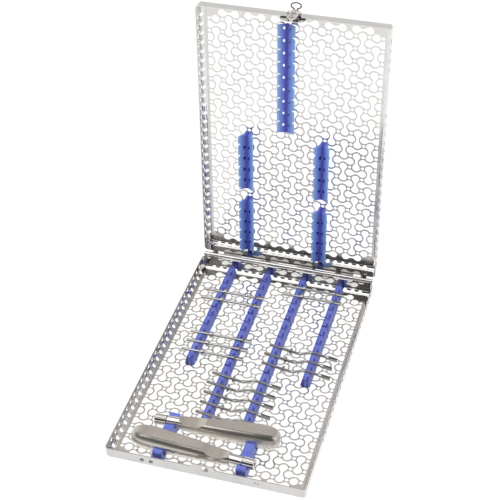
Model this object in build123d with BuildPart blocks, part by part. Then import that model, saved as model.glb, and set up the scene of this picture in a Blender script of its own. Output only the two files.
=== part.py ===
from build123d import *
import os
from math import atan, ceil, cos, degrees, radians, sin, sqrt

os.makedirs("parts", exist_ok=True)

# A perforated instrument cassette with its lid open, holding two handles and fifteen
# interchangeable tips. Millimetres. X runs to the right, Y to the hinge at the back, Z up.
# The origin is under the middle of the base tray, on the surface that it stands on.

# ---- driving dimensions -----------------------------------------------------------------
sheet = 0.8                     # thickness of the stainless sheet
pitch = 12.8                    # spacing of the small round holes
columns, rows = 13, 19          # cells of the pattern across the tray and along it
tray_width, tray_depth = 184.0, 278.0
corner_radius, bend_radius = 3.0, 5.0
floor_corner = 1.0              # corners of the flat panel between the bends
base_height, lid_height = 13.6, 13.8
hinge_height = 15.1             # hinge axis above the standing surface
hinge_setback = 2.6             # hinge axis behind the rear wall
closed_height = 32.8            # outside height with the lid shut
open_angle = 93.0               # lid angle from shut to resting on its stop

lobe_radius = 0.30 * pitch      # round ends of a dog-bone opening
neck_radius = pitch / sqrt(2) - lobe_radius
dot_radius = 0.135 * pitch      # small round holes at the cell corners
side_margin = 0.13 * pitch      # sheet line that cuts the pattern beside the outer columns
wall_hole_radius = 2.1
low_holes_long, low_holes_short = 27, 21
long_wall_pitch, short_wall_pitch = 9.6, 7.9
upper_row_height = 9.6          # second row of holes in the long walls
base_plain_end = -82.0          # the right wall has no upper holes in front of this
lid_plain = (55.0, 95.0)        # nor does the lid's right wall between these
drain_offset, drain_radius = 0.97 * pitch, 0.9
rear_hole_inset, rear_hole_z, rear_hole_radius = 10.5, 12.0, 1.5
tab_half, tab_slope, tab_top = 9.4, 2.2, 17.4
latch_x, latch_hole_z, latch_hole_radius = 1.5, 13.1, 3.2
front_holes = (
    (latch_x, latch_hole_z, latch_hole_radius),
    (-57.0, 8.1, 2.0),
    (-48.6, 8.1, 2.0),
    (46.5, 8.9, 0.9),
    (49.2, 8.9, 0.9),
)

barrel_radius, pin_radius, pin_play = 2.3, 1.25, 0.05
knuckle_count, knuckle_length, knuckle_gap = 9, 20.0, 0.4
base_leaf_start, lid_leaf_start = 7.0, 8.8   # height of each leaf's lower edge in its tray
pin_head_radius, pin_head_length = 2.1, 0.8
stop_x, stop_width = 80.0, 6.0  # the lid's stops, beside the end knuckles
stop_front, stop_back, stop_top = 146.0, 149.0, 17.35
stop_foot, stop_root = 8.6, 11.0
stop_fall = 0.0524              # the stops' tops slope as the open lid does

rail_height, rail_foot, rail_top = 10.0, 9.6, 5.2
rail_gap = 0.6                  # between two rails in line
rail_skirt, rail_end_offset = 1.0, 0.2
stud_radius, stud_foot, stud_root = 1.6, 0.1, 0.5   # plug of a rail in a small round hole
notch_row = 0.7                 # of each notch behind its row of small holes
tip_height = 10.3               # axis of a tip at rest, above the standing surface
shank_radius, shaft_radius, lead_in = 1.5, 1.4, 0.8
flange_radius, flange_start, flange_length = 3.3, 20.5, 2.2
blade_length, blade_radius, cone_length = 12.0, 2.2, 3.0
hollow_rise, hollow_radius = 0.7, 1.7
curve_radius = 6.0              # of a curved tip's bends
straight_length = 63.0
pocket_depth, pocket_width, pocket_height, pocket_foot = 1.0, 1.2, 5.0, 5.0   # in a rail's sides
seat_play, seat_opening = 0.1, 3.0   # room round a tip in its notch, and the notch's way up

# sections of the lid's rails above its panel, half from the middle outwards:
# foot, wing from its underside to its lip, and the bottom of the trough between the wings
low_rail = ((1.7, 0.0), (1.7, 1.6), (8.7, 5.3), (8.7, 6.6), (1.7, 3.8))
tall_rail = ((3.6, 0.0), (3.6, 5.2), (7.7, 13.0), (7.7, 14.2), (1.3, 9.2))
slit_half, slit_root = 1.1, 3.6             # between two segments of a wing
wing_slot_length, wing_slot_width, wing_slot_row = 3.5, 1.8, 0.33
cradle_width, cradle_top, cradle_bevel = 9.0, 15.6, 1.5
cradle_corner = 0.50            # of a cradle's notch, as a share of its half width

handle_height = 14.4            # handle axis above the standing surface
body_length, collar_length, ring_length, ring_gap = 93.0, 12.0, 10.6, 0.4
collar_radius, ring_radius = 4.8, 4.9
spigot_radius, ring_bore = 3.2, 3.25
socket_radius, socket_depth = 1.55, 20.0
ball_radius, ball_play = 0.8, 0.03
flutes, flute_radius, flute_circle = 12, 0.85, 5.25   # along the ring's outside
scoop_radius, scoop_middle = 26.0, 82.0
scoop_floor = 3.0               # of the scoop, above the handle's axis
belly_drop = 0.30               # the widest part lies below the axis, as a share of half height

# the latch, in the lid's frame
pivot_y, pivot_z = 140.9, 9.5
slot_play, slot_height = 0.4, 4.6
foot_x, foot_width, foot_height = 9.6, 3.0, 4.0
lug_root, lug_half = 1.6, 2.0
lever_neck, lever_low, lever_shoulder, lever_crown = 2.3, 3.8, 7.2, 17.0
lever_window, lever_eye_x, lever_eye_radius, lever_eye_length = 4.2, 3.6, 1.6, 2.6
bracket_start, bracket_end, bracket_half, bracket_gap = 5.0, 21.0, 12.0, 0.2
bracket_corner = 7.0
lug_x, lug_thickness = 5.6, 1.0
lever_stand, lever_half, lever_end = 1.5, 4.9, 22.6
latch_pin_radius, pin_cap_radius, pin_cap_length = 0.8, 1.3, 0.6
nose_radius, nose_tip_radius, nose_length = 2.7, 2.1, 2.3
dimple_radii, dimple_depth = (1.8, 1.3), 2.0
loop_start, loop_tip = 4.0, -25.54          # where the finger loop leaves the plate, and its tip
loop_neck, loop_neck_reach = (4.6, 3.2), 0.9
loop_outside, loop_inside, loop_middle = (5.3, 3.3), (4.2, 2.2), 4.4
loop_mouth, loop_mouth_reach = 2.4, 2.0
wire_radius, coil_radius, coil_count, coil_pitch = 0.3, 1.25, 5, 0.5
leg_radius, leg_length, leg_x, leg_drop = 0.27, 5.0, 0.9, 0.2

seat_align = (Align.CENTER, Align.CENTER, Align.MIN)
half_width, half_depth = tray_width / 2, tray_depth / 2
grid_x, grid_y = columns * pitch / 2, rows * pitch / 2
hinge_y = half_depth + hinge_setback
floor_top = sheet


def column_x(column):
    return column * pitch - grid_x


def row_y(row):
    return row * pitch - grid_y


def save(piece, name):
    piece.part.label = name
    export_step(piece.part, f"parts/{name}.step")


# The base tray's frame is the object's own. The lid's frame has its origin in the middle of
# the lid's outside face, Y towards the latch and Z into the lid, so both trays are drawn alike.
base_frame = Plane.XY
lid_y = Vector(0, -cos(radians(open_angle)), sin(radians(open_angle)))
lid_z = Vector(0, -sin(radians(open_angle)), -cos(radians(open_angle)))
lid_origin = Vector(0, hinge_y, hinge_height) + lid_y * hinge_y - lid_z * (closed_height - hinge_height)
lid_frame = Plane(origin=lid_origin, x_dir=(1, 0, 0), z_dir=lid_z)


def on(frame, plane):
    """A plane given in a tray's frame, placed in the object's frame."""
    return Plane(frame.location * plane.location)


# ---- the perforation --------------------------------------------------------------------
with BuildSketch() as bone:
    # two round lobes joined by a waist of two hollow arcs, along X
    with BuildLine():
        half = pitch / 2
        touch = lobe_radius / sqrt(2)
        for side in (1, -1):
            ThreePointArc(
                (side * (half - touch), -touch),
                (side * (half + lobe_radius), 0),
                (side * (half - touch), touch),
            )
            ThreePointArc(
                (half - touch, side * touch),
                (0, side * (half - neck_radius)),
                (-half + touch, side * touch),
            )
    make_face()

cells = [(c, r) for c in range(-1, columns + 1) for r in range(-1, rows + 1)]
flat_bones = [
    (column_x(c + 0.5), row_y(r + 0.5))
    for c, r in cells
    if (c + r) % 2 == 0 and (0 <= r < rows or 0 < c < columns - 1)
]
tall_bones = [
    (column_x(c + 0.5), row_y(r + 0.5))
    for c, r in cells
    if (c + r) % 2 == 1 and 0 <= r < rows and 0 <= c < columns
]
end_lobes = [(column_x(c + 0.5), row_y(r)) for c in range(0, columns, 2) for r in (0, rows)]
dots = [(column_x(c), row_y(r)) for c in range(columns + 1) for r in range(rows + 1)]

with BuildSketch() as perforation:
    with Locations(*flat_bones):
        add(bone.sketch)
    with Locations(*tall_bones):
        add(bone.sketch, rotation=90)
    with Locations(*end_lobes):
        Circle(lobe_radius)
    with Locations(*dots):
        Circle(dot_radius)
    Rectangle(columns * pitch + 2 * side_margin, tray_depth, mode=Mode.INTERSECT)


# ---- trays ------------------------------------------------------------------------------
def spaced(count, spacing):
    return [(i - (count - 1) / 2) * spacing for i in range(count)]


def tray_panel(frame):
    """The flat perforated sheet between the bends, with a small drain hole near one corner."""
    with BuildPart(frame) as panel:
        with BuildSketch(frame):
            RectangleRounded(tray_width - 2 * bend_radius, tray_depth - 2 * bend_radius, floor_corner)
            add(perforation.sketch, mode=Mode.SUBTRACT)
            with Locations((-grid_x, grid_y + drain_offset)):
                Circle(drain_radius, mode=Mode.SUBTRACT)
        extrude(amount=sheet)
    return panel


def tray_wall(frame, side, height, plain=(0, 0)):
    """One wall of a tray with its bend, mitred at the corners, and its rows of round holes.
    side is right, rear, left or front in the tray's own frame, where rear is +Y. plain is the
    stretch along a long wall that has no upper holes."""
    turn = {"right": 0, "rear": 90, "left": 180, "front": 270}[side]
    long_wall = side in ("left", "right")
    across, along = (half_width, half_depth) if long_wall else (half_depth, half_width)
    flat, end = across - bend_radius, along - bend_radius
    turned = Plane.XY.rotated((0, 0, turn))
    bend_middle = bend_radius - sheet / 2
    bend_out = flat + bend_middle * sin(radians(45))
    bend_up = bend_radius - bend_middle * cos(radians(45))
    low_row = spaced(low_holes_short, short_wall_pitch)
    if long_wall:
        low_row = spaced(low_holes_long, long_wall_pitch)
    high_row = [a for a in low_row if not plain[0] < a < plain[1]] if long_wall else []
    with BuildPart(turned) as wall:
        with BuildSketch(Plane.XY):
            Rectangle(tray_width, tray_depth)
        extrude(amount=height)
        fillet(wall.faces().sort_by(Axis.Z)[0].edges(), bend_radius)
        fillet(wall.edges().filter_by(Axis.Z), corner_radius)
        offset(amount=-sheet, openings=wall.faces().sort_by(Axis.Z)[-1])
        with BuildSketch(turned):
            Polygon(
                (flat, -end),
                (across + 1, -along - 1),
                (across + 1, along + 1),
                (flat, end),
                align=None,
            )
        extrude(amount=height, mode=Mode.INTERSECT)
        with Locations(*[Location((bend_out, a, bend_up), (0, -45, 0)) for a in low_row]):
            Cylinder(wall_hole_radius, 3 * sheet, mode=Mode.SUBTRACT)
        for a in high_row:
            with Locations(Location((across, a, upper_row_height), (0, 90, 0))):
                Cylinder(wall_hole_radius, 3 * sheet, mode=Mode.SUBTRACT)
    return frame.location * wall.part


base_floor = tray_panel(base_frame)
save(base_floor, "base_floor")
lid_panel = tray_panel(lid_frame)
save(lid_panel, "lid_panel")

for side in ("left", "right", "rear"):
    stretch = (-half_depth, base_plain_end) if side == "right" else (0, 0)
    with BuildPart() as base_wall:
        add(tray_wall(base_frame, side, base_height, stretch))
    save(base_wall, f"base_wall_{side}")

with BuildPart() as base_wall_front:
    # the front wall rises to a tab in the middle, which holds the latch hole
    add(tray_wall(base_frame, "front", base_height))
    with BuildSketch(Plane.XZ.offset(half_depth - sheet)):
        with BuildLine():
            Polyline((-tab_half - tab_slope, base_height), (tab_half + tab_slope, base_height))
            Line((tab_half + tab_slope, base_height), (tab_half, tab_top))
            Line((tab_half, tab_top), (-tab_half, tab_top))
            Line((-tab_half, tab_top), (-tab_half - tab_slope, base_height))
        make_face()
    extrude(amount=sheet)
    for x, z, radius in front_holes:
        with Locations(Location((x, -half_depth, z), (90, 0, 0))):
            Cylinder(radius, 4 * sheet, mode=Mode.SUBTRACT)
save(base_wall_front, "base_wall_front")

# in the lid's frame +Y is the latch side, so its rear wall carries the latch
for side, name in (("left", "left"), ("right", "right"), ("front", "rear"), ("rear", "front")):
    stretch = lid_plain if side == "right" else (0, 0)
    with BuildPart() as lid_wall:
        add(tray_wall(lid_frame, side, lid_height, stretch))
        if name == "front":
            # slots for the latch's lugs
            slots = [Location((latch_x + x, half_depth, pivot_z)) for x in (-lug_x, lug_x)]
            with Locations(*[lid_frame.location * slot for slot in slots]):
                Box(lug_thickness + slot_play, 4 * sheet, slot_height, mode=Mode.SUBTRACT)
        if name == "rear":
            hole = Location((half_width - rear_hole_inset, -half_depth, rear_hole_z), (90, 0, 0))
            with Locations(lid_frame.location * hole):
                Cylinder(rear_hole_radius, 4 * sheet, mode=Mode.SUBTRACT)
    save(lid_wall, f"lid_wall_{name}")


# ---- hinge ------------------------------------------------------------------------------
def knuckle_spans(first):
    """The x of the middle of every other knuckle, counted from the left end."""
    return spaced(knuckle_count, knuckle_length)[first::2]


def hinge_leaf(frame, axis_z, spans, others, leaf_start, leaf_half, over):
    """A leaf standing against a rear wall's outside, with its knuckles bored for the pin.
    axis_z is the hinge axis in the tray's frame and over is +1 where the wall is at +Y."""
    axis_y = over * hinge_y
    wall_y = over * half_depth
    leaf_y = wall_y + over * sheet / 2
    with BuildPart(frame) as leaf:
        with BuildSketch(on(frame, Plane.XZ.offset(-leaf_y))):
            with Locations((0, (leaf_start + axis_z) / 2)):
                Rectangle(2 * leaf_half, axis_z - leaf_start)
            with Locations(*[(x, axis_z) for x in others]):
                relief = 2 * (barrel_radius + knuckle_gap)
                Rectangle(knuckle_length + knuckle_gap, relief, mode=Mode.SUBTRACT)
        extrude(amount=sheet / 2, both=True)
        with Locations(*[Location((x, axis_y, axis_z), (0, 90, 0)) for x in spans]):
            Cylinder(barrel_radius, knuckle_length - knuckle_gap)
        with Locations(Location((0, axis_y, axis_z), (0, 90, 0))):
            Cylinder(pin_radius + pin_play, tray_width, mode=Mode.SUBTRACT)
    return leaf


base_knuckles, lid_knuckles = knuckle_spans(0), knuckle_spans(1)
pin_half = knuckle_count * knuckle_length / 2 - knuckle_gap / 2

with BuildPart() as base_hinge_leaf:
    spans = (base_knuckles, lid_knuckles)
    add(hinge_leaf(base_frame, hinge_height, *spans, base_leaf_start, pin_half, 1).part)
    # two stops reach under the barrel, and the open lid's rear wall comes to rest on them
    for x in (-stop_x, stop_x):
        with BuildSketch(Plane.YZ.offset(x)):
            Polygon(
                (half_depth + sheet / 2, stop_foot),
                (stop_back, stop_foot),
                (stop_back, stop_top - (stop_back - stop_front) * stop_fall),
                (stop_front, stop_top),
                (stop_front, stop_root),
                (half_depth + sheet / 2, stop_root),
                align=None,
            )
        extrude(amount=stop_width / 2, both=True)
save(base_hinge_leaf, "base_hinge_leaf")

lid_leaf_half = (knuckle_count - 2) * knuckle_length / 2 - knuckle_gap / 2
lid_axis_z = closed_height - hinge_height
spans = (lid_knuckles, base_knuckles)
lid_hinge_leaf = hinge_leaf(lid_frame, lid_axis_z, *spans, lid_leaf_start, lid_leaf_half, -1)
save(lid_hinge_leaf, "lid_hinge_leaf")

with BuildPart() as hinge_pin:
    with Locations(Location((0, hinge_y, hinge_height), (0, 90, 0))):
        Cylinder(pin_radius, 2 * pin_half)
    for side in (-1, 1):
        with Locations(Location((side * pin_half, hinge_y, hinge_height), (0, side * 90, 0))):
            Cylinder(pin_head_radius, pin_head_length, align=seat_align)
save(hinge_pin, "hinge_pin")


# ---- tips: where each lies --------------------------------------------------------------
# kind, row of its notch, x of its left end, height of that end over the resting axis
tip_places = (
    ("straight", 16.7, -73.9, 0),
    ("straight", 15.7, -73.9, 0),
    ("straight", 11.7, -68.0, 0),
    ("straight", 10.7, -68.0, 0),
    ("straight", 9.7, -68.9, 0),
    ("straight", 18.7, 3.1, 0),
    ("straight", 17.7, 3.9, 0),
    ("curved", 11.7, 13.0, 1.2),
    ("curved", 10.7, 11.0, 1.2),
    ("curved", 9.7, 12.1, 1.2),
    ("curved", 7.7, -29.1, 1.8),
    ("curved", 6.7, -30.7, 1.8),
    ("curved", 5.7, -29.4, 1.8),
    ("curved", 4.7, -28.6, 1.8),
    ("curved", 3.7, -28.6, 1.8),
)
# a curved tip's axis, as distance from its left end and height
curve_points = ((0, 0), (30.5, -5.5), (41.5, -0.3), (67.4, -4.8))


def axis_at(kind, reach):
    """Height and slope in degrees of a tip's axis at a distance from its left end."""
    if kind == "straight":
        return 0, 0
    for (x0, z0), (x1, z1) in zip(curve_points, curve_points[1:]):
        if reach <= x1:
            slope = (z1 - z0) / (x1 - x0)
            return z0 + slope * (reach - x0), degrees(atan(slope))


# ---- silicone rails of the base ---------------------------------------------------------
def base_rail(column, first_row, last_row):
    """A rail along one column of small holes: plugs below, notches across its top."""
    x = column_x(column)
    front, back = row_y(first_row) + rail_gap / 2, row_y(last_row) - rail_gap / 2
    first_notch, last_notch = ceil(first_row - notch_row), ceil(last_row - notch_row)
    seat_rows = [n + notch_row for n in range(first_notch, last_notch)]
    foot, top = rail_foot / 2, rail_top / 2
    with BuildPart() as rail:
        with BuildSketch(Plane.XZ.offset(-front)):
            with Locations((x, floor_top)):
                Polygon(
                    (-foot, 0),
                    (foot, 0),
                    (foot, rail_skirt),
                    (top, rail_height),
                    (-top, rail_height),
                    (-foot, rail_skirt),
                    align=None,
                )
        extrude(amount=-(back - front))
        for row in seat_rows:
            # the notch, opened upwards so that a tip lifts straight out
            with Locations(Location((x, row_y(row), tip_height), (0, 90, 0))):
                Cylinder(shank_radius + seat_play, rail_foot, mode=Mode.SUBTRACT)
            with Locations((x, row_y(row), tip_height)):
                wide = 2 * (shank_radius + seat_play)
                Box(rail_foot, wide, seat_opening, align=seat_align, mode=Mode.SUBTRACT)
            # a shallow pocket in each side, below the notch
            with Locations(*[(x + side * foot, row_y(row), pocket_foot) for side in (-1, 1)]):
                Box(2 * pocket_depth, pocket_width, pocket_height, mode=Mode.SUBTRACT)
        for kind, row, left, rise in tip_places:
            length = straight_length if kind == "straight" else curve_points[-1][0]
            if row not in seat_rows or not left < x < left + length:
                continue
            height, slope = axis_at(kind, x - left)
            seat = Location((x, row_y(row), tip_height + rise + height), (0, 90 - slope, 0))
            on_blade = left + length - blade_length < x + rail_foot / 2
            seat_radius = (blade_radius if on_blade else shank_radius) + seat_play
            with Locations(seat):
                Cylinder(seat_radius, 2 * rail_foot, mode=Mode.SUBTRACT)
            with Locations(seat.position):
                Box(rail_foot, 2 * seat_radius, seat_opening, align=seat_align, mode=Mode.SUBTRACT)
        stud_rows = (ceil(first_row), int(last_row - rail_end_offset))
        with Locations(*[(x, row_y(n), stud_foot) for n in stud_rows]):
            Cylinder(stud_radius, floor_top - stud_foot + stud_root, align=seat_align)
    return rail


rail_rows = {"front": (3.35, 8.85), "middle": (8.85, 14.85), "rear": (14.85, 19.96)}
rail_letters = {2: "a", 5: "b", 8: "c", 11: "d"}
for column, letter in rail_letters.items():
    for place, (first_row, last_row) in rail_rows.items():
        if place == "front" and column in (2, 11):
            continue
        save(base_rail(column, first_row, last_row), f"base_rail_{letter}_{place}")


# ---- handles ----------------------------------------------------------------------------
# stations along the body: distance from the butt, half width, half height, half width of the
# flat top and of the flat underside
body_stations = (
    (22.0, 10.4, 9.2, 6.3, 6.4),
    (58.0, 8.6, 7.6, 4.7, 5.2),
    (body_length, 5.9, 5.4, 3.1, 3.6),
)
butt_steps, butt_power, butt_flat = 11, 3.2, 0.15
ridge_bevel, butt_bevel = 0.35, 4.0   # along the edges of the flat top, wider round the butt
spigot_length = ring_gap + ring_length


def body_section(plane, cut, wide, high, top, under):
    """The body's outline: flat on top between two bevels, bellied sides, flat underneath."""
    brow = high - cut
    with BuildSketch(plane) as section:
        with BuildLine():
            Polyline((-top, brow), (-top + cut, high), (top - cut, high), (top, brow))
            ThreePointArc((top, brow), (wide, -belly_drop * high), (under, -high))
            Line((under, -high), (-under, -high))
            ThreePointArc((-under, -high), (-wide, -belly_drop * high), (-top, brow))
        make_face()
    return section


def butt_swell(distance):
    """How far the rounded butt has swelled to the full section, at a distance from its end."""
    left = 1 - (distance + butt_flat) / (body_stations[0][0] + butt_flat)
    return (1 - left**butt_power) ** (1 / butt_power)


def make_handle(name, butt, ring_end):
    """A handle lying level from its butt to its ring end, each given as (x, y)."""
    start = Vector(butt[0], butt[1], handle_height)
    along = (Vector(ring_end[0], ring_end[1], handle_height) - start).normalized()
    axis = Plane(origin=start, x_dir=Vector(0, 0, 1).cross(along), z_dir=along)

    def at(distance):
        return Plane(origin=start + along * distance, x_dir=axis.x_dir, z_dir=along)

    collar_start, spigot_start = body_length, body_length + collar_length
    with BuildPart() as body:
        full_at, *full = body_stations[0]
        for i in range(butt_steps + 1):
            swell = butt_swell(i * full_at / butt_steps)
            cut = min(ridge_bevel + butt_bevel * (1 - swell), 0.45 * swell * full[2])
            add(body_section(at(i * full_at / butt_steps), cut, *[size * swell for size in full]).sketch)
        loft()
        for distance, *sizes in body_stations:
            add(body_section(at(distance), ridge_bevel, *sizes).sketch)
        loft()
        # a thumb rest hollowed in the top, beside the collar
        scoop = Location((0, scoop_floor + scoop_radius, scoop_middle), (0, 90, 0))
        with Locations(axis.location * scoop):
            Cylinder(scoop_radius, 4 * collar_radius, mode=Mode.SUBTRACT)
    save(body, f"handle_{name}_body")

    with BuildPart(axis) as collar:
        with BuildSketch(at(collar_start)):
            Circle(collar_radius)
        extrude(amount=collar_length)
        chamfer(collar.faces().sort_by(Axis(start, along))[-1].edges(), 0.5)
        with BuildSketch(at(spigot_start)):
            Circle(spigot_radius)
        extrude(amount=spigot_length)
        with BuildSketch(at(spigot_start + spigot_length)):
            Circle(socket_radius)
        extrude(amount=-socket_depth, mode=Mode.SUBTRACT)
        with Locations(Location((0, 0, spigot_start + ring_gap + ring_length / 2), (90, 0, 0))):
            Cylinder(ball_radius + ball_play, spigot_radius + 1, align=seat_align, mode=Mode.SUBTRACT)
    save(collar, f"handle_{name}_collar")

    with BuildPart(axis) as ring:
        with BuildSketch(at(spigot_start + ring_gap)):
            Circle(ring_radius)
            Circle(ring_bore, mode=Mode.SUBTRACT)
            with PolarLocations(flute_circle, flutes):
                Circle(flute_radius, mode=Mode.SUBTRACT)
        extrude(amount=ring_length)
    save(ring, f"handle_{name}_ring")

    with BuildPart(axis) as ball:
        middle = spigot_start + ring_gap + ring_length / 2
        with Locations((0, -(socket_radius + ball_radius), middle)):
            Sphere(ball_radius)
    save(ball, f"handle_{name}_ball")
    return at


upper_at = make_handle("upper", (56.1, -89.6), (-57.7, -94.4))
lower_at = make_handle("lower", (-73.7, -116.5), (44.9, -123.9))


# ---- silicone cradles of the handles ----------------------------------------------------
def handle_cradle(column, back, notches):
    """A cradle across both handles. Each notch is (plane on the handle, half width, drop)."""
    front = -half_depth + bend_radius + 0.1
    x = column_x(column)
    with BuildPart() as cradle:
        with BuildSketch(Plane.YZ.offset(x - cradle_width / 2)):
            with BuildLine():
                Polyline(
                    (front, floor_top),
                    (back, floor_top),
                    (back, cradle_top - cradle_bevel),
                    (back - cradle_bevel, cradle_top),
                    (front + cradle_bevel, cradle_top),
                    (front, cradle_top - cradle_bevel),
                    close=True,
                )
            make_face()
        extrude(amount=cradle_width)
        for plane, wide, drop in notches:
            with BuildSketch(plane):
                with Locations((0, -drop)):
                    corner = cradle_corner * wide
                    RectangleRounded(2 * wide, 4 * drop, corner, align=(Align.CENTER, Align.MIN))
            extrude(amount=cradle_width, both=True, mode=Mode.SUBTRACT)
        with Locations(*[(x, row_y(n), stud_foot) for n in (0, 2)]):
            Cylinder(stud_radius, floor_top - stud_foot + stud_root, align=seat_align)
    return cradle


left_cradle = handle_cradle(3, -83.0, ((lower_at(28.9), 10.6, 9.5), (upper_at(100.9), 5.0, 5.0)))
save(left_cradle, "handle_cradle_left")
right_cradle = handle_cradle(9, -77.0, ((lower_at(105.9), 5.0, 5.0), (upper_at(24.1), 10.7, 9.5)))
save(right_cradle, "handle_cradle_right")


# ---- tips -------------------------------------------------------------------------------
def make_tip(name, kind, row, left, rise):
    """An interchangeable tip along X: shank, flange, shaft and a hollow-ground gouge blade."""
    start = Vector(left, row_y(row), tip_height + rise)
    points = curve_points if kind == "curved" else ((0, 0), (straight_length, 0))
    path_points = [start + Vector(x, 0, z) for x, z in points]
    last = (path_points[-1] - path_points[-2]).normalized()
    first = (path_points[1] - path_points[0]).normalized()
    shaft_end = path_points[-1] - last * blade_length
    with BuildPart() as tip:
        with BuildLine() as path:
            if kind == "curved":
                FilletPolyline(*path_points[:-1], shaft_end, radius=curve_radius)
            else:
                Line(path_points[0], shaft_end)
        with BuildSketch(Plane(origin=start, z_dir=first)):
            Circle(shaft_radius)
        sweep(path=path.line)
        with BuildSketch(Plane(origin=start + first * lead_in, z_dir=first)):
            Circle(shank_radius)
        extrude(amount=flange_start - lead_in)
        with BuildSketch(Plane(origin=start + first * flange_start, z_dir=first)):
            Circle(flange_radius)
        extrude(amount=flange_length)
        # a cone leads the shaft into the blade, a trough open upwards with a round end
        blade = Plane(origin=shaft_end, x_dir=(0, 1, 0), z_dir=last)
        with BuildSketch(blade):
            Circle(shaft_radius)
        with BuildSketch(blade.offset(cone_length)):
            Circle(blade_radius)
        loft()
        with BuildSketch(blade.offset(cone_length)):
            Circle(blade_radius)
        extrude(amount=blade_length - cone_length)
        up = 1 if blade.y_dir.Z > 0 else -1
        hollow = blade.offset(cone_length)
        with BuildSketch(hollow):
            with Locations((0, up * hollow_rise)):
                Circle(hollow_radius)
                open_side = Align.MIN if up > 0 else Align.MAX
                Rectangle(4 * blade_radius, 2 * blade_radius, align=(Align.CENTER, open_side))
        extrude(amount=blade_length, mode=Mode.SUBTRACT)
        # the blade's plan, rounded at its end
        side_view = Plane(origin=shaft_end, x_dir=last, z_dir=last.cross(Vector(0, 1, 0)))
        with BuildSketch(side_view):
            with Locations((blade_length, 0)):
                Rectangle(2 * blade_radius, 4 * blade_radius)
            with Locations((blade_length - blade_radius, 0)):
                Circle(blade_radius, mode=Mode.SUBTRACT)
                kept = (Align.MAX, Align.CENTER)
                Rectangle(2 * blade_radius, 4 * blade_radius, align=kept, mode=Mode.SUBTRACT)
        extrude(amount=2 * blade_radius, both=True, mode=Mode.SUBTRACT)
    save(tip, name)


for number, (kind, row, left, rise) in enumerate(tip_places, start=1):
    make_tip(f"tip_{kind}_{number:02d}", kind, row, left, rise)


# ---- silicone rails of the lid ----------------------------------------------------------
def lid_rail(column, first_row, last_row, section, first_slit):
    """A winged rail, its rows counted from the lid's latch edge and its wings slit at every row
    from first_slit on. section is the half section from the middle outwards."""
    x = column_x(column)
    latch_end = grid_y - first_row * pitch - rail_gap / 2
    hinge_end = grid_y - last_row * pitch + rail_gap / 2
    half = max(reach for reach, height in section)
    height = max(height for reach, height in section)
    root = section[-1][0]
    slits = [first_slit + i for i in range(ceil(last_row - first_slit))]
    starts = [slits[0] - 1, *slits]
    with BuildPart(lid_frame) as rail:
        with BuildSketch(on(lid_frame, Plane.XZ.offset(-latch_end))):
            with Locations((x, floor_top)):
                Polygon(*section, *[(-reach, rise) for reach, rise in reversed(section)], align=None)
        extrude(amount=latch_end - hinge_end)
        with BuildSketch(lid_frame):
            for side in (-1, 1):
                outer = x + side * (half + 0.1)
                inner = x + side * max(slit_root, root + 1)
                for y in [grid_y - row * pitch for row in slits]:
                    Polygon((outer, y + slit_half), (inner, y), (outer, y - slit_half), align=None)
                for y in [grid_y - (row + wing_slot_row) * pitch for row in starts]:
                    if hinge_end + wing_slot_length < y < latch_end - wing_slot_length / 2:
                        with Locations((x + side * (root + wing_slot_width / 2 + 0.2), y)):
                            SlotOverall(wing_slot_length, wing_slot_width, rotation=90)
        extrude(amount=2 * height, mode=Mode.SUBTRACT)
        stud_rows = (ceil(first_row + rail_end_offset), int(last_row - rail_end_offset))
        with Locations(*[(x, grid_y - n * pitch, stud_foot) for n in stud_rows]):
            Cylinder(stud_radius, floor_top - stud_foot + stud_root, align=seat_align)
    return rail


for column, letter in ((3, "a"), (9, "c")):
    save(lid_rail(column, 9.05, 13.95, tall_rail, 9.8), f"lid_rail_{letter}_middle")
    save(lid_rail(column, 15.05, 19.95, tall_rail, 15.8), f"lid_rail_{letter}_rear")
save(lid_rail(6, -0.4, 8.6, low_rail, 0.6), "lid_rail_b_front")


# ---- latch ------------------------------------------------------------------------------
# A rocker on the outside of the lid's front wall. Its nose sits in the hole of the base's
# tab, and pressing its finger loop towards the lid swings the nose out.
def latch_plane(y):
    """A plane across the lid's frame at that y, with its origin on the latch's middle."""
    return on(lid_frame, Plane(origin=(latch_x, y, 0), x_dir=(1, 0, 0), z_dir=(0, -1, 0)))


nose_z = closed_height - latch_hole_z
plate_back = half_depth + lever_stand
with BuildPart(lid_frame) as latch_bracket:
    with BuildSketch(latch_plane(half_depth - sheet - bracket_gap)) as bracket_outline:
        with Locations((0, (bracket_start + bracket_end) / 2)):
            Rectangle(2 * bracket_half, bracket_end - bracket_start)
        fillet(bracket_outline.vertices().group_by(Axis.Y)[-1], bracket_corner)
    extrude(amount=sheet)
    # two feet raised against the wall
    for x in (-foot_x, foot_x):
        with Locations((latch_x + x, half_depth - sheet - bracket_gap, pivot_z)):
            Box(foot_width, bracket_gap, foot_height, align=(Align.CENTER, Align.MIN, Align.CENTER))
    # two lugs through the wall carry the pin
    for x in (-lug_x, lug_x):
        with BuildSketch(on(lid_frame, Plane.YZ.offset(latch_x + x))):
            with Locations((half_depth - lug_root, pivot_z)):
                lug_reach = pivot_y - half_depth + lug_root
                Rectangle(lug_reach, 2 * lug_half, align=(Align.MIN, Align.CENTER))
            with Locations((pivot_y, pivot_z)):
                Circle(lug_half)
        extrude(amount=lug_thickness / 2, both=True)
    with Locations(Location((latch_x, pivot_y, pivot_z), (0, 90, 0))):
        Cylinder(latch_pin_radius + pin_play, 4 * lug_x, mode=Mode.SUBTRACT)
save(latch_bracket, "latch_bracket")

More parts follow.
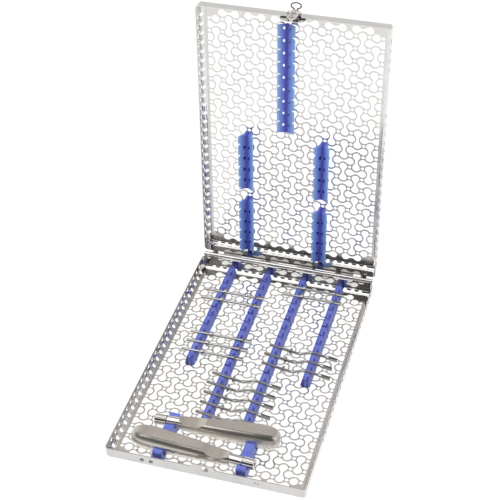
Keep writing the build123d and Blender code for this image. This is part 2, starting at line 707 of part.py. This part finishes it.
with BuildPart(lid_frame) as latch_lever:
    with BuildSketch(latch_plane(plate_back + sheet)):
        with BuildLine():
            Polyline(
                (-lever_half, lever_crown),
                (-lever_half, lever_shoulder),
                (-lever_neck, lever_low),
                (lever_neck, lever_low),
                (lever_half, lever_shoulder),
                (lever_half, lever_crown),
            )
            ThreePointArc((lever_half, lever_crown), (0, lever_end), (-lever_half, lever_crown))
        make_face()
        with Locations((0, pivot_z)):
            Rectangle(lever_window, lever_window, mode=Mode.SUBTRACT)
    extrude(amount=sheet)
    for x in (-lever_eye_x, lever_eye_x):
        with Locations(Location((latch_x + x, pivot_y, pivot_z), (0, 90, 0))):
            Cylinder(lever_eye_radius, lever_eye_length)
    with Locations(Location((latch_x, pivot_y, pivot_z), (0, 90, 0))):
        Cylinder(latch_pin_radius + pin_play, 2 * lug_x, mode=Mode.SUBTRACT)
    # the nose is pressed inwards from the plate, which leaves a dimple outside
    with Locations(Location((latch_x, plate_back + 0.1, nose_z), (90, 0, 0))):
        Cone(nose_radius, nose_tip_radius, nose_length, align=seat_align)
    with Locations(Location((latch_x, plate_back + sheet, nose_z), (90, 0, 0))):
        Cone(*dimple_radii, dimple_depth, align=seat_align, mode=Mode.SUBTRACT)
    # finger loop, tipped outwards
    loop_foot = Location((latch_x, plate_back + sheet / 2, loop_start), (loop_tip, 0, 0))
    with BuildSketch(on(lid_frame, Plane(loop_foot))):
        with Locations((0, loop_neck_reach)):
            Rectangle(*loop_neck)
        with Locations((0, loop_middle)):
            Ellipse(*loop_outside)
            Ellipse(*loop_inside, mode=Mode.SUBTRACT)
        with Locations((0, loop_mouth_reach)):
            Rectangle(loop_mouth, loop_mouth, mode=Mode.SUBTRACT)
    extrude(amount=sheet / 2, both=True)
save(latch_lever, "latch_lever")

with BuildPart(lid_frame) as latch_pin:
    with Locations(Location((latch_x, pivot_y, pivot_z), (0, 90, 0))):
        Cylinder(latch_pin_radius, 2 * lug_x + lug_thickness)
    for side in (-1, 1):
        head_x = latch_x + side * (lug_x + lug_thickness / 2)
        with Locations(Location((head_x, pivot_y, pivot_z), (0, side * 90, 0))):
            Cylinder(pin_cap_radius, pin_cap_length, align=seat_align)
save(latch_pin, "latch_pin")

with BuildPart(lid_frame) as latch_spring:
    # five turns round the pin, with a leg on the wall and a leg on the lever
    for x in spaced(coil_count, coil_pitch):
        with Locations(Location((latch_x + x, pivot_y, pivot_z), (0, 90, 0))):
            Torus(coil_radius, wire_radius)
    for side in (-1, 1):
        with Locations((latch_x - side * leg_x, pivot_y + side * coil_radius, pivot_z - leg_drop)):
            Cylinder(leg_radius, leg_length, align=seat_align)
save(latch_spring, "latch_spring")
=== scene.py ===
"""Looks for the open instrument cassette: polished perforated trays, blue silicone rails,
two satin handles and their tips, on a pale floor under soft light."""

import math

import bpy
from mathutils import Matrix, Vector


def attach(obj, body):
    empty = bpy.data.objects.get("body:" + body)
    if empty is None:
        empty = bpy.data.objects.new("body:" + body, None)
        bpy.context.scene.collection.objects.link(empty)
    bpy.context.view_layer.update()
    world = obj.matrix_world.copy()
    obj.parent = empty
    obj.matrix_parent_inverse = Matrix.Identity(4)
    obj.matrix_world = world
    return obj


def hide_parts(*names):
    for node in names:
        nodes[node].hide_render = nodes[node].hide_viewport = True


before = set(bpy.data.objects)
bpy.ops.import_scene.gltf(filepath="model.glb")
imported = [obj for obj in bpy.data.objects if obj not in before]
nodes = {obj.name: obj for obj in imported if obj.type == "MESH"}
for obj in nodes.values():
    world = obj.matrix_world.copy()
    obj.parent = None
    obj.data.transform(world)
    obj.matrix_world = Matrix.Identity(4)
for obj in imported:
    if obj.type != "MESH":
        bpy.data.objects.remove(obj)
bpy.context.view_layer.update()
scene = bpy.context.scene

# ---- dimensions in metres, as the CAD has them -------------------------------------------------
FLOOR_TOP = 0.0008
PITCH = 0.0128
GRID_X, GRID_Y = 6.5 * PITCH, 9.5 * PITCH
# column of holes under each base rail
RAIL_COLUMNS = {"a": 2, "b": 5, "c": 8, "d": 11}
RAIL_FOOT_HALF, RAIL_TOP_HALF, RAIL_HEIGHT = 0.0048, 0.0026, 0.010
# column of holes and half width of each lid rail
LID_COLUMNS = {"a": (3, 0.0078), "b": (6, 0.0088), "c": (9, 0.0078)}
# the grooves pressed into a base rail: their reach over the left face and up it, as shares
RIBS_PER_PITCH = 4
RIB_DEPTH = 0.0005
RIB_REACH = 0.6
RIB_LOW, RIB_HIGH = 0.12, 0.98
# remeshing of the silicone pieces, and rounds of smoothing that wear their edges
VOXEL = 0.0004
SMOOTHING = 0.5
BASE_ROUNDS, LID_ROUNDS = 4, 3
FLOOR_SIZE, FLOOR_DROP = 8, 0.0002

# ---- finishes: noise scales are per metre ------------------------------------------------------
CLOUD_EDGES = (0.3, 0.7)
STEEL_CLOUD_SCALE = 45
BRUSH_DEPTH = 0.00005
# per steel: dark and light colour, span of roughness, stretch, scale and bump of the brush marks
STEELS = {
    "sheet": ((0.74, 0.715, 0.69), (0.80, 0.785, 0.765), (0.16, 0.24), (1, 0.15, 1), 700, 0.015),
    "wall": ((0.68, 0.665, 0.65), (0.76, 0.75, 0.735), (0.05, 0.10), (1, 1, 0.2), 700, 0.015),
    "fitting": ((0.60, 0.58, 0.56), (0.72, 0.70, 0.68), (0.10, 0.20), (0.2, 1, 1), 900, 0.03),
    "handle": ((0.62, 0.58, 0.535), (0.70, 0.66, 0.61), (0.24, 0.34), (1, 1, 1), 2400, 0.1),
    "turned": ((0.42, 0.405, 0.39), (0.54, 0.525, 0.51), (0.10, 0.18), (8, 1, 1), 700, 0.03),
    "tip": ((0.42, 0.41, 0.40), (0.52, 0.51, 0.50), (0.20, 0.30), (0.1, 1, 1), 1500, 0.03),
    "lid": ((0.66, 0.64, 0.62), (0.73, 0.71, 0.69), (0.16, 0.24), (1, 1, 1), 300, 0.02),
    "front": ((0.58, 0.57, 0.56), (0.65, 0.64, 0.63), (0.08, 0.14), (0.15, 1, 1), 700, 0.015),
}
SILICONE_CLOUD_SCALE = 160
SILICONE_EDGES = (0.3, 0.72)
SILICONE_ROUGH = (0.34, 0.5)
WING_ROUGH = (0.32, 0.48)
GRAIN_SCALE, GRAIN_BUMP, GRAIN_DEPTH = 2600, 0.12, 0.00006
CRADLE_BLUES = ((0.11, 0.14, 0.54), (0.15, 0.21, 0.65))
RAIL_BLUES = ((0.10, 0.13, 0.50), (0.15, 0.20, 0.62))
# painted shade in the base rail's ribs and slots
GROOVE_SHADE_BLUE = (0.035, 0.035, 0.33, 1)
CRADLE_SURFACE = {
    "Subsurface Weight": 0.12,
    "Subsurface Radius": (0.0006, 0.0008, 0.003),
    "Subsurface Scale": 1.0,
    "Specular IOR Level": 0.5,
}
FLOOR_GREYS = ((0.3, (0.10, 0.10, 0.10)), (0.7, (0.12, 0.12, 0.12)))
FLOOR_SURFACE = {
    "Roughness": 0.9,
    "Specular IOR Level": 0.1,
    "Emission Color": (1, 1, 1, 1),
    "Emission Strength": 0.96,
}
# colours across a lid rail, from one wing tip over the spine to the other: the deep blue along the
# spine is painted shade and the pale wing tips are painted light through the thin silicone
WING_PAINTED_SHADING_BLUES = (
    (0.0, (0.34, 0.58, 0.92)),
    (0.16, (0.19, 0.34, 0.80)),
    (0.36, (0.10, 0.15, 0.62)),
    (0.45, (0.05, 0.05, 0.42)),
    (0.55, (0.05, 0.05, 0.42)),
    (0.66, (0.12, 0.20, 0.66)),
    (0.86, (0.20, 0.35, 0.80)),
    (1.0, (0.30, 0.50, 0.88)),
)
# bands of painted shade in the ribs and slots: band middle, half width and fade, as a share of the
# pitch along the rail and in metres across it
RIB_SHADE_ALONG, RIB_SHADE_ACROSS = (0.5, 0.10, 0.14), (-0.0026, 0.0013, 0.0006)
SLOT_SHADE_ALONG, SLOT_SHADE_ACROSS = (0.34, 0.10, 0.12), (0.0022, 0.0007, 0.0007)
FIRST_NOTCH = 0.7
# sky colours by the sine of the height above the horizon
REAR_SKY = (
    (0.0, (0.85, 0.85, 0.85)),
    (0.48, (0.80, 0.79, 0.78)),
    (0.60, (0.46, 0.43, 0.41)),
    (0.72, (0.44, 0.41, 0.385)),
    (0.82, (0.82, 0.80, 0.78)),
    (0.88, (0.62, 0.605, 0.59)),
    (1.0, (0.34, 0.335, 0.33)),
)
FRONT_SKY = (
    (0.0, (0.55, 0.55, 0.55)),
    (0.25, (0.07, 0.07, 0.07)),
    (0.75, (0.06, 0.058, 0.056)),
    (0.95, (0.34, 0.335, 0.33)),
)
SKY_TURN = (-0.45, 0.15)
# of each soft light: place, what it aims at, size in metres and power in watts
LIGHTS = {
    "key": ((-0.75, -0.35, 1.5), (0, 0, 0.05), 1.6, 14),
    "fill": ((1.2, -0.2, 0.9), (0, 0, 0.1), 1.2, 5),
    "top": ((0, 0.2, 1.7), (0, 0, 0), 1.6, 11),
}
LENS_MM, SENSOR_MM = 85.64, 36
CAMERA_SHIFT = (-0.0285, 0.0092)
CAMERA_PLACE = (0.2507, -0.7763, 0.8101)
CAMERA_DEGREES = (50.733, 0.926, 15.944)
# a colour Mix node's sockets: factor, first, second and result
MIX_FACTOR, MIX_FIRST, MIX_SECOND, MIX_RESULT = 0, 6, 7, 2


# ---- node helpers ------------------------------------------------------------------------------
def new_material(name):
    """A material with its node tree, its Principled shader and a source of object coordinates."""
    material = bpy.data.materials.new(name)
    material.use_nodes = True
    tree = material.node_tree
    shader = tree.nodes["Principled BSDF"]
    coords = tree.nodes.new("ShaderNodeTexCoord").outputs["Object"]
    return material, tree, shader, coords


def noise(tree, coords, scale, detail=3.0, stretch=(1, 1, 1)):
    """A noise factor over the coordinates, drawn out by stretch."""
    mapping = tree.nodes.new("ShaderNodeMapping")
    mapping.inputs["Scale"].default_value = stretch
    tree.links.new(coords, mapping.inputs["Vector"])
    node = tree.nodes.new("ShaderNodeTexNoise")
    node.inputs["Scale"].default_value = scale
    node.inputs["Detail"].default_value = detail
    tree.links.new(mapping.outputs["Vector"], node.inputs["Vector"])
    return node.outputs["Fac"]


def ramp(tree, factor, stops):
    """A colour ramp over factor, its stops given as (position, colour)."""
    node = tree.nodes.new("ShaderNodeValToRGB")
    elements = node.color_ramp.elements
    while len(elements) < len(stops):
        elements.new(0.5)
    for element, (position, colour) in zip(elements, stops):
        element.position = position
        element.color = (*colour, 1)
    tree.links.new(factor, node.inputs["Fac"])
    return node.outputs["Color"]


def span(tree, value, start, end, low=0.0, high=1.0):
    """Maps value from start..end to low..high, held at both ends."""
    node = tree.nodes.new("ShaderNodeMapRange")
    node.inputs["From Min"].default_value = start
    node.inputs["From Max"].default_value = end
    node.inputs["To Min"].default_value = low
    node.inputs["To Max"].default_value = high
    tree.links.new(value, node.inputs["Value"])
    return node.outputs["Result"]


def bump(tree, shader, height, strength, distance):
    """Gives the shader a bump of the height, distance metres deep."""
    node = tree.nodes.new("ShaderNodeBump")
    node.inputs["Strength"].default_value = strength
    node.inputs["Distance"].default_value = distance
    tree.links.new(height, node.inputs["Height"])
    tree.links.new(node.outputs["Normal"], shader.inputs["Normal"])


def math_node(tree, operation, first, second=None):
    """A math node over sockets or plain numbers."""
    node = tree.nodes.new("ShaderNodeMath")
    node.operation = operation
    for socket, value in zip(node.inputs, (first, second)):
        if isinstance(value, (int, float)):
            socket.default_value = value
        elif value is not None:
            tree.links.new(value, socket)
    return node.outputs["Value"]


def band(tree, value, middle, half, soft):
    """1 where value is within half of middle, falling to 0 over soft."""
    away = math_node(tree, "ABSOLUTE", math_node(tree, "SUBTRACT", value, middle))
    return span(tree, away, half + soft, half)


def mix_colours(tree, factor, first, second):
    """A blend of two colours, each a socket or a fixed colour."""
    node = tree.nodes.new("ShaderNodeMix")
    node.data_type = "RGBA"
    tree.links.new(factor, node.inputs[MIX_FACTOR])
    for index, colour in ((MIX_FIRST, first), (MIX_SECOND, second)):
        if isinstance(colour, tuple):
            node.inputs[index].default_value = colour
        else:
            tree.links.new(colour, node.inputs[index])
    return node.outputs[MIX_RESULT]


def axes(tree, vector):
    """The separate X, Y and Z of a vector."""
    node = tree.nodes.new("ShaderNodeSeparateXYZ")
    tree.links.new(vector, node.inputs["Vector"])
    return node.outputs


def set_sockets(shader, values):
    """Fixed values straight onto the shader's own sockets."""
    for socket, value in values.items():
        shader.inputs[socket].default_value = value


# ---- materials ---------------------------------------------------------------------------------
def steel(name, dark, light, rough, stretch, scale, depth):
    """Stainless steel: slow clouds in its colour, brush marks in its roughness and bump."""
    material, tree, shader, coords = new_material(name)
    clouds = noise(tree, coords, STEEL_CLOUD_SCALE, 4)
    marks = noise(tree, coords, scale, 2, stretch)
    colour = ramp(tree, clouds, tuple(zip(CLOUD_EDGES, (dark, light))))
    tree.links.new(colour, shader.inputs["Base Color"])
    tree.links.new(span(tree, marks, *CLOUD_EDGES, *rough), shader.inputs["Roughness"])
    shader.inputs["Metallic"].default_value = 1.0
    bump(tree, shader, marks, depth, BRUSH_DEPTH)
    return material


def silicone_finish(tree, shader, coords, clouds, rough):
    """The satin bloom and moulding grain that all silicone here has."""
    tree.links.new(span(tree, clouds, *CLOUD_EDGES, *rough), shader.inputs["Roughness"])
    bump(tree, shader, noise(tree, coords, GRAIN_SCALE, 2), GRAIN_BUMP, GRAIN_DEPTH)


def plain_silicone(name):
    """Plain blue silicone, for the cradles."""
    material, tree, shader, coords = new_material(name)
    clouds = noise(tree, coords, SILICONE_CLOUD_SCALE, 3)
    colour = ramp(tree, clouds, tuple(zip(SILICONE_EDGES, CRADLE_BLUES)))
    tree.links.new(colour, shader.inputs["Base Color"])
    set_sockets(shader, CRADLE_SURFACE)
    silicone_finish(tree, shader, coords, clouds, SILICONE_ROUGH)
    return material


def ribbed_silicone(name, x_middle):
    """Silicone for a base rail: painted shade in short ribs down its left side and in a slot by
    each notch.
    """
    material, tree, shader, coords = new_material(name)
    place = axes(tree, coords)
    across = math_node(tree, "SUBTRACT", place["X"], x_middle)
    rows = math_node(tree, "DIVIDE", math_node(tree, "ADD", place["Y"], GRID_Y), PITCH)
    rib = math_node(tree, "FRACT", math_node(tree, "MULTIPLY", rows, float(RIBS_PER_PITCH)))
    slot = math_node(tree, "FRACT", math_node(tree, "SUBTRACT", rows, FIRST_NOTCH))
    rib_shade = math_node(
        tree, "MULTIPLY", band(tree, rib, *RIB_SHADE_ALONG), band(tree, across, *RIB_SHADE_ACROSS)
    )
    slot_shade = math_node(
        tree, "MULTIPLY", band(tree, slot, *SLOT_SHADE_ALONG), band(tree, across, *SLOT_SHADE_ACROSS)
    )
    clouds = noise(tree, coords, SILICONE_CLOUD_SCALE, 3)
    plain = ramp(tree, clouds, tuple(zip(SILICONE_EDGES, RAIL_BLUES)))
    # painted shade: the rail's blue darkened in the ribs and in a slot by each notch
    colour = mix_colours(tree, math_node(tree, "MAXIMUM", rib_shade, slot_shade), plain, GROOVE_SHADE_BLUE)
    tree.links.new(colour, shader.inputs["Base Color"])
    silicone_finish(tree, shader, coords, clouds, SILICONE_ROUGH)
    return material


def winged_silicone(name, x_middle, wing_half):
    """Silicone for a lid rail: painted shade in deep blue along its spine and painted light,
    paler, out to the thin wing tips.
    """
    material, tree, shader, coords = new_material(name)
    offset = math_node(tree, "SUBTRACT", axes(tree, coords)["X"], x_middle)
    across = span(tree, offset, -wing_half, wing_half)
    # painted shade along the spine and painted light out at the wing tips, laid across the rail
    tree.links.new(ramp(tree, across, WING_PAINTED_SHADING_BLUES), shader.inputs["Base Color"])
    clouds = noise(tree, coords, SILICONE_CLOUD_SCALE, 3)
    silicone_finish(tree, shader, coords, clouds, WING_ROUGH)
    return material


def column_x(column):
    """Where a column of holes lies."""
    return column * PITCH - GRID_X


steels = {name: steel(name + "_steel", *finish) for name, finish in STEELS.items()}
blue_silicone = plain_silicone("blue_silicone")
# base rail silicone with painted shade in its ribs and slots
rib_silicone_painted_shade = {
    letter: ribbed_silicone("rib_silicone_painted_shade_" + letter, column_x(column))
    for letter, column in RAIL_COLUMNS.items()
}
# lid rail silicone with painted shade along the spine and painted light at the wing tips
wing_silicone_painted_shading = {
    letter: winged_silicone("wing_silicone_painted_shading_" + letter, column_x(column), wing_half)
    for letter, (column, wing_half) in LID_COLUMNS.items()
}

# the first entry whose key is part of a node's name gives its material
NODE_MATERIALS = (
    ("base_floor", steels["sheet"]),
    ("lid_panel", steels["lid"]),
    ("base_wall_front", steels["front"]),
    ("_wall", steels["wall"]),
    ("hinge", steels["fitting"]),
    ("latch", steels["fitting"]),
    ("_rail", blue_silicone),
    ("cradle", blue_silicone),
    ("_body", steels["handle"]),
    ("_collar", steels["fitting"]),
    ("handle_", steels["turned"]),
    ("tip_", steels["tip"]),
)
for name, node in nodes.items():
    node_material = next(material for key, material in NODE_MATERIALS if key in name)
    node.data.materials.clear()
    node.data.materials.append(node_material)


# ---- silicone pieces ---------------------------------------------------------------------------
def moulded(node_name, rounds, material, body):
    """A moulded piece in place of a CAD node: the solid remeshed, its edges worn round."""
    mesh = nodes[node_name].data.copy()
    mesh.materials.clear()
    piece = bpy.data.objects.new(node_name + "_moulded", mesh)
    scene.collection.objects.link(piece)
    remesh = piece.modifiers.new("remesh", "REMESH")
    remesh.mode = "VOXEL"
    remesh.voxel_size = VOXEL
    remesh.use_smooth_shade = True
    smooth = piece.modifiers.new("smooth", "SMOOTH")
    smooth.factor = SMOOTHING
    smooth.iterations = rounds
    depsgraph = bpy.context.evaluated_depsgraph_get()
    settled = bpy.data.meshes.new_from_object(piece.evaluated_get(depsgraph))
    piece.modifiers.clear()
    piece.data = settled
    settled.materials.clear()
    settled.materials.append(material)
    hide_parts(node_name)
    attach(piece, body)
    return piece


def press_ribs(piece, x_middle):
    """Presses short moulded grooves into a base rail's left face, four to a notch."""
    step = PITCH / RIBS_PER_PITCH
    for vertex in piece.data.vertices:
        x, y, z = vertex.co
        lift = (z - FLOOR_TOP) / RAIL_HEIGHT
        half = RAIL_FOOT_HALF + (RAIL_TOP_HALF - RAIL_FOOT_HALF) * lift
        if x - x_middle <= -RIB_REACH * half and RIB_LOW < lift < RIB_HIGH:
            wave = 0.5 - 0.5 * math.cos(2 * math.pi * (y + GRID_Y) / step)
            vertex.co.x += RIB_DEPTH * wave**2


for name in list(nodes):
    letter = name.split("_")[2] if "_rail_" in name else None
    if name.startswith("base_rail"):
        rail = moulded(name, BASE_ROUNDS, rib_silicone_painted_shade[letter], "base")
        press_ribs(rail, column_x(RAIL_COLUMNS[letter]))
    elif name.startswith("lid_rail"):
        moulded(name, LID_ROUNDS, wing_silicone_painted_shading[letter], "lid")
    elif name.startswith("handle_cradle"):
        moulded(name, BASE_ROUNDS, blue_silicone, "base")

# ---- floor -------------------------------------------------------------------------------------
bpy.ops.mesh.primitive_plane_add(size=FLOOR_SIZE, location=(0, 0, -FLOOR_DROP))
floor = bpy.context.object
floor.name = "floor"
floor_material, tree, shader, coords = new_material("floor")
tree.links.new(ramp(tree, noise(tree, coords, 3, 2), FLOOR_GREYS), shader.inputs["Base Color"])
set_sockets(shader, FLOOR_SURFACE)
floor.data.materials.append(floor_material)

# ---- sky: a pale sweep behind the object, a dark room in front and a dim ceiling ----------------
world = bpy.data.worlds.new("studio")
scene.world = world
world.use_nodes = True
sky = world.node_tree
direction = axes(sky, sky.nodes.new("ShaderNodeTexCoord").outputs["Generated"])
front_sky = ramp(sky, direction["Z"], FRONT_SKY)
rear_sky = ramp(sky, direction["Z"], REAR_SKY)
background = sky.nodes["Background"]
side = span(sky, direction["Y"], *SKY_TURN)
sky.links.new(mix_colours(sky, side, front_sky, rear_sky), background.inputs["Color"])
background.inputs["Strength"].default_value = 1.0


# ---- lights and camera -------------------------------------------------------------------------
def area_light(name, location, target, size, power):
    """A square soft light of the size, aimed at the target."""
    data = bpy.data.lights.new(name, "AREA")
    data.size = size
    data.energy = power
    light = bpy.data.objects.new(name, data)
    scene.collection.objects.link(light)
    light.location = location
    aim = Vector(target) - Vector(location)
    light.rotation_euler = aim.to_track_quat("-Z", "Y").to_euler()
    return light


lights = {name: area_light(name, *setting) for name, setting in LIGHTS.items()}
# mirrored in the steel it would wash out the perforation from above
lights["top"].visible_glossy = False

camera_data = bpy.data.cameras.new("camera")
camera_data.lens = LENS_MM
camera_data.sensor_width = SENSOR_MM
camera_data.shift_x, camera_data.shift_y = CAMERA_SHIFT
camera = bpy.data.objects.new("camera", camera_data)
scene.collection.objects.link(camera)
camera.location = CAMERA_PLACE
camera.rotation_euler = tuple(math.radians(angle) for angle in CAMERA_DEGREES)
scene.camera = camera
scene.view_settings.view_transform = "Standard"
